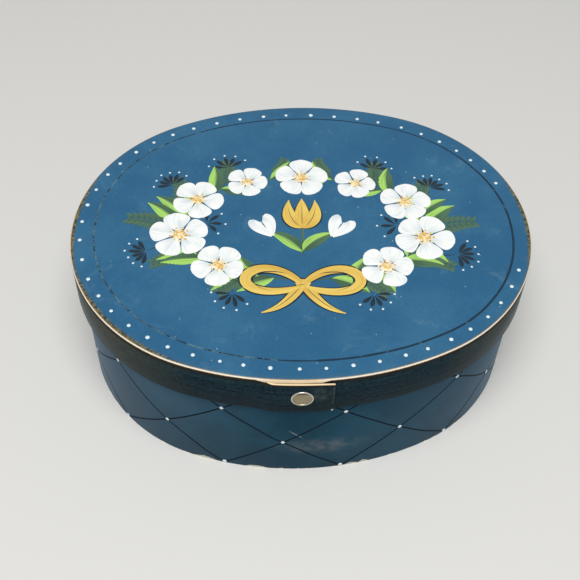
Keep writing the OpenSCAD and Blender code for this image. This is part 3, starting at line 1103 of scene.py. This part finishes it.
def brush_paint(name, start, end, edge, streak):
    """Thick craft paint that a loaded brush leaves, from one colour at the start of the stroke to
    another at its end, with a third along one edge and streaks of a fourth"""
    finish, add, shader, place = new_finish(name)
    stroke = add("UVMap", uv_map="stroke")
    split = add("SeparateXYZ", {0: stroke})
    over = add(
        "MapRange", {"Value": split.outputs["X"], "From Min": 0.1, "From Max": 0.7},
        interpolation_type="SMOOTHSTEP")
    pulled = add("Mix", {0: over, 6: start, 7: end}, data_type="RGBA")
    beside = add(
        "MapRange", {"Value": split.outputs["Y"], "From Min": 0.42, "From Max": 0.62},
        interpolation_type="SMOOTHSTEP")
    loaded = add("Mix", {0: beside, 6: pulled, 7: edge}, data_type="RGBA")
    in_hairs = add("VectorMath", {0: stroke, 1: HAIRS}, operation="MULTIPLY")
    in_stroke = add("VectorMath", {0: place, 1: HAIR_SHIFT, 2: in_hairs}, operation="MULTIPLY_ADD")
    hairs = add("TexNoise", {"Vector": in_stroke, "Scale": 1.0, "Detail": 2.0})
    streaks = add("MapRange", {"Value": hairs, "From Min": 0.5, "From Max": 0.8, "To Max": 0.8})
    colour = add("Mix", {0: streaks, 6: loaded, 7: streak}, data_type="RGBA")
    bump = add("Bump", {"Height": hairs, "Strength": 0.3, "Distance": RELIEF})
    set_inputs(shader, {
        "Base Color": colour, "Normal": bump, "Roughness": 0.42, "Specular IOR Level": LID_GLOSS})
    return finish


# White petals let some blue through where the brush lifts.
white_strokes = brush_paint("brushed_white_craft_paint", "#D6E0E2", "#F6F7F4", "#F0F3F1", "#C9D6DB")
# Leaves come from a brush loaded with dark green on one side and yellow-green on the other.
green_strokes = brush_paint("brushed_green_craft_paint", "#3F5E46", "#4F6F52", "#A6D56A", "#2F4E3A")
# Stems are a thin grey olive that sinks into the blue.
stem_strokes = brush_paint("brushed_olive_craft_paint", "#3A5748", "#55725A", "#48664F", "#2C4A40")
# Ribbons are a warm ochre, streaked where the brush dragged.
ochre_strokes = brush_paint("brushed_ochre_craft_paint", "#D6B052", "#E8CA6A", "#E2C160", "#B98D38")
# Outlines, veins and drops are a blue-black, close to the border's line.
dark_strokes = brush_paint("brushed_dark_craft_paint", "#14222C", "#1C2F3B", "#182833", "#0F1A22")

# Round middles are stippled in cream over ochre.
STIPPLE = 0.0012
cream_stipple, add, shader, place = new_finish("stippled_cream_craft_paint")
stipple = add("TexNoise", {"Vector": place, "Scale": 1 / STIPPLE, "Detail": 3.0})
spots = add("MapRange", {"Value": stipple, "From Min": 0.42, "From Max": 0.58})
cream = add("Mix", {0: spots, 6: "#D9A94E", 7: "#F5E6B8"}, data_type="RGBA")
bump = add("Bump", {"Height": stipple, "Strength": 0.4, "Distance": RELIEF})
set_inputs(shader, {"Base Color": cream, "Normal": bump, "Roughness": 0.5})

for bm in strokes:
    dry(bm, PETAL_LIFT + STROKE_DEEP)
add_piece("wreath_stems", stems, stem_strokes, "lid")
add_piece("wreath_leaves", leaves, green_strokes, "lid")
add_piece("wreath_dark_lines", lines, dark_strokes, "lid")
add_piece("wreath_petals", petals, white_strokes, "lid")
add_piece("wreath_ochre_ribbons", ochre, ochre_strokes, "lid")
add_piece("wreath_navy_drops", drops, dark_strokes, "lid")
add_piece("wreath_blossom_middles", middles, cream_stipple, "lid")
add_piece("wreath_white_dots", dots, white_dot, "lid")


# Studio: a plain pale floor, one large soft light above the front left, a faint even fill, and a
# camera where the photograph was taken from.
FLOOR_HALF = 12.0
LIGHT_SIZE = 1.0
LIGHT_AT = Vector((-0.10, -0.55, 1.40))
LIGHT_POWER = 22.0
FILL = 0.22
BACKDROP = 0.68

pale_floor, _, shader, _ = new_finish("pale_matt_floor")
set_inputs(shader, {"Base Color": "#DAD9D5", "Roughness": 0.8})
bm = bmesh.new()
bmesh.ops.create_grid(bm, x_segments=1, y_segments=1, size=FLOOR_HALF)
floor = add_shape("floor", bm, pale_floor)

lamp = bpy.data.lights.new("soft_light", "AREA")
lamp.shape = "DISK"
lamp.size = LIGHT_SIZE
lamp.energy = LIGHT_POWER
light = add_object("soft_light", lamp)
light.location = LIGHT_AT
light.rotation_euler = (-LIGHT_AT).to_track_quat("-Z", "Y").to_euler()

world = bpy.data.worlds.new("studio")
world.use_nodes = True
add = partial(add_node, world.node_tree)
path = add("LightPath")
seen = add(
    "Math", {0: path.outputs["Is Camera Ray"], 1: path.outputs["Is Glossy Ray"]}, operation="MAXIMUM")
shown = add("Math", {0: seen, 1: path.outputs["Is Transmission Ray"]}, operation="MAXIMUM")
strength = add("MapRange", {"Value": shown, "To Min": FILL, "To Max": BACKDROP})
set_inputs(world.node_tree.nodes["Background"], {"Color": (1, 1, 1, 1), "Strength": strength})
bpy.context.scene.world = world
bpy.context.scene.view_settings.view_transform = "Standard"

CAMERA_AT = Vector((-0.0358, -0.2928, 0.3694))
CAMERA_DOWN = math.radians(49.24)
CAMERA_TURN = math.radians(-6.11)
CAMERA_ROLL = math.radians(1.71)
CAMERA_LENS = 59.70
view = bpy.data.cameras.new("camera")
view.lens = CAMERA_LENS
view.sensor_width = 36.0
view.clip_start = 0.01
aim = Euler((math.pi / 2 - CAMERA_DOWN, 0, CAMERA_TURN)).to_matrix()
aim = aim @ Matrix.Rotation(CAMERA_ROLL, 3, "Z")
camera = add_object("camera", view)
camera.matrix_world = Matrix.Translation(CAMERA_AT) @ aim.to_4x4()
bpy.context.scene.camera = camera
